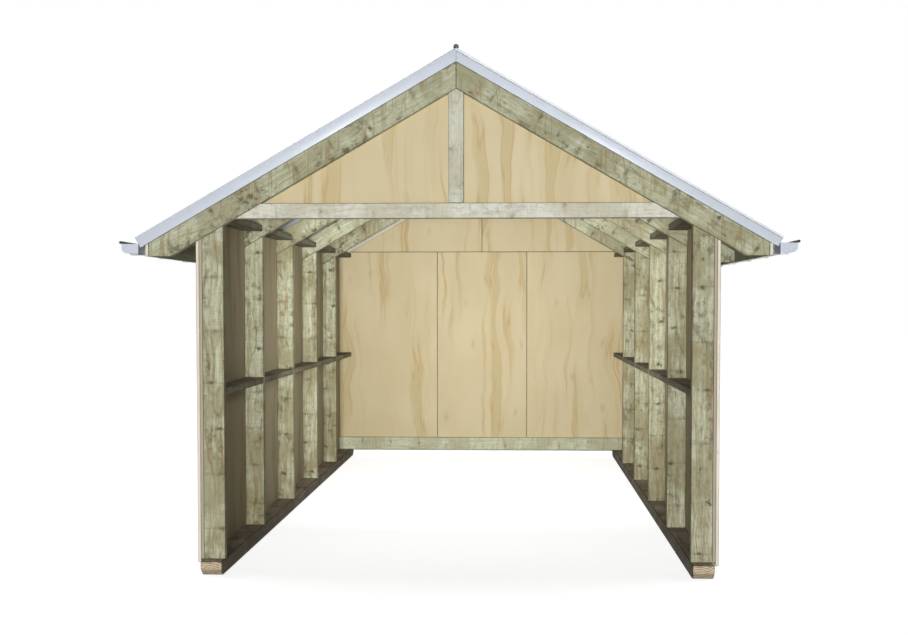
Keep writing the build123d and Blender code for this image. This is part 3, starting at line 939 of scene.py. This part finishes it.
def side_wall(side, out):
    """Ply lining between studs and boards, the back sheet beside it, and the boards."""
    lining = dress_sheets(f"{side}_wall_sheets", "wall_plywood", crisp=Vector((-out, 0, -1)))
    mark_faces(lining, lambda middle, normal: FRONT_MARK * (-normal.y > SQUARE))
    dress_sheets(f"{side}_back_sheet", "plywood", nail_way=(0, -1, 0))
    cut_boards(f"{side}_cladding", "cladding_pine", (0, 1, 0))


def side_gutter(side, out):
    """Gutter, dark inside with dirt and painted shade and dark on its rolled rim with painted shade, and
    brackets with bright feet under it.
    """
    gutter = dress_metal(f"{side}_gutter", "gutter_steel", GUTTER_FOLD, seam=(0, 0, RIM_BASE))
    trough = (GUTTER_LOW + GUTTER_HIGH) / 2
    trough.x *= out
    # Inside of the gutter marked darker with dirt and painted shade, then the rim with painted shade
    mark_faces(gutter, lambda middle, normal: TROUGH_SHADE * ((trough - middle).dot(normal) > TROUGH_NEAR))
    mark_faces(gutter, lambda middle, normal: middle.z > RIM_BASE and middle.x * out > RIM_BACK)
    seam = (out * GUTTER_LOW.x, 0, 0)
    brackets = dress_metal(f"{side}_gutter_brackets", "bracket_steel", BRACKET_FOLD, BRACKET_ARRIS, seam)
    mark_faces(brackets, lambda middle, normal: middle.x * out > GUTTER_LOW.x)


def side_roof(side, out):
    """Barges, corrugated sheets with their screws, and the filler under their edge."""
    for end in ("front", "back"):
        dress_metal(f"{side}_{end}_barge", "flashing_steel", BARGE_FOLD, BARGE_ARRIS)
    sheet = corrugated_slope(out, f"{side}_roof_iron")
    finish_piece(sheet, "roof_iron", f"{side}_roof_sheet")
    roof_screws(out, f"{side}_roof_screws")
    eave_filler(out, f"{side}_eave_filler")


def front_truss():
    """Tie beam across the front and the post up to the ridge."""
    dress_timber("tie_beam", "truss_pine", along=(1, 0, 0))
    dress_timber("king_post", "truss_pine", along=(0, 0, 1), finish="post_pine")


def back_wall():
    """Frame and sheets of the closed end."""
    dress_timber("back_tie_beam", "frame_pine", along=(1, 0, 0))
    dress_timber("back_wall_studs", "frame_pine", along=(0, 0, 1))
    dress_timber("back_bottom_rail", "rail_pine", along=(1, 0, 0))
    dress_sheets("middle_back_sheet", "plywood", nail_way=(0, -1, 0))


def gables():
    """Ply in both gables, battens on the back one, and the boards behind it."""
    dress_sheets("back_gable_sheets", "plywood")
    dress_sheets("front_gable_sheets", "plywood")
    dress_timber("back_gable_battens", "batten_pine", BATTEN_ARRIS)
    cut_boards("back_cladding", "cladding_pine", (1, 0, 0))


# All pieces: both sides, then the ends and the ridge
for name, way in (("left", -1), ("right", 1)):
    side_frame(name, way)
    side_wall(name, way)
    side_gutter(name, way)
    side_roof(name, way)
front_truss()
back_wall()
gables()
dress_metal("ridge_cap", "flashing_steel", CAP_FOLD)
barge_hem(1, "right_front_barge_hem")


def seen_rays(s):
    """One for what the camera sees, straight or by way of metal."""
    ray = s.add("ShaderNodeLightPath").outputs
    mirrored = s.math("MAXIMUM", ray["Is Glossy Ray"], ray["Is Transmission Ray"])
    return s.math("MAXIMUM", ray["Is Camera Ray"], mirrored)


def studio_floor():
    """White sweep that the camera sees as bright, and that throws less light up than it shows."""
    mesh = bpy.data.meshes.new("floor")
    r = FLOOR_REACH
    mesh.from_pydata([(-r, -r, 0), (r, -r, 0), (r, r, 0), (-r, r, 0)], [], [(0, 1, 2, 3)])
    material = bpy.data.materials.new("studio_floor")
    material.use_nodes = True
    s = Shade(material.node_tree)
    shader = material.node_tree.nodes["Principled BSDF"]
    shader.inputs["Base Color"].default_value = (FLOOR_GREY, FLOOR_GREY, FLOOR_GREY, 1)
    shader.inputs["Roughness"].default_value = 0.9
    shader.inputs["Specular IOR Level"].default_value = 0.0
    shader.inputs["Emission Color"].default_value = (1, 1, 1, 1)
    seen = seen_rays(s)
    away = s.vec("LENGTH", s.geometry("Position"))
    glow = s.span(away, GLOW_NEAR, GLOW_FAR, GLOW_LOW, 1.0)
    s.put(shader.inputs["Emission Strength"], s.times(seen, glow))
    mesh.materials.append(material)
    new_object("floor", mesh)


def studio_world():
    """White all round for what is seen, and dim as a source of light."""
    world = bpy.data.worlds.new("studio")
    bpy.context.scene.world = world
    world.use_nodes = True
    s = Shade(world.node_tree)
    back = world.node_tree.nodes["Background"]
    back.inputs["Color"].default_value = (1, 1, 1, 1)
    s.put(back.inputs["Strength"], s.span(seen_rays(s), 0.0, 1.0, SKY_LIGHT, 1.0))


def lamp(name, place, target, watts, wide, high, mirrored):
    """An area lamp that isn't seen itself, and is seen in metal only where it is mirrored."""
    data = bpy.data.lights.new(name, "AREA")
    data.energy = watts
    data.shape = "RECTANGLE"
    data.size = wide
    data.size_y = high
    light = new_object(name, data)
    light.location = place
    light.rotation_euler = (Vector(target) - Vector(place)).to_track_quat("-Z", "Y").to_euler()
    light.visible_camera = False
    light.visible_glossy = mirrored


def photo_camera():
    """The photo's own view, solved from the frame's straight edges."""
    place = (0.4055, -10.6073, 1.874)
    yaw, tilt = math.radians(2.0), math.radians(1.91)
    width, height = 908, 635
    focal, centre_x, centre_y = 1097.42, 476.52, 342.61
    right = Vector((math.cos(yaw), math.sin(yaw), 0))
    ahead = Vector((-math.sin(yaw) * math.cos(tilt), math.cos(yaw) * math.cos(tilt), -math.sin(tilt)))
    up = right.cross(ahead)
    data = bpy.data.cameras.new("photo_camera")
    data.sensor_fit = "HORIZONTAL"
    data.lens = focal * data.sensor_width / width
    data.shift_x = (width / 2 - centre_x) / width
    data.shift_y = (centre_y - height / 2) / width
    camera = new_object("photo_camera", data)
    turn = Matrix((right, up, -ahead)).transposed().to_4x4()
    camera.matrix_world = Matrix.Translation(place) @ turn
    bpy.context.scene.camera = camera


studio_floor()
studio_world()
for name, lamp_settings in LAMPS.items():
    lamp(name, *lamp_settings)
photo_camera()
bpy.context.scene.view_settings.view_transform = "Standard"
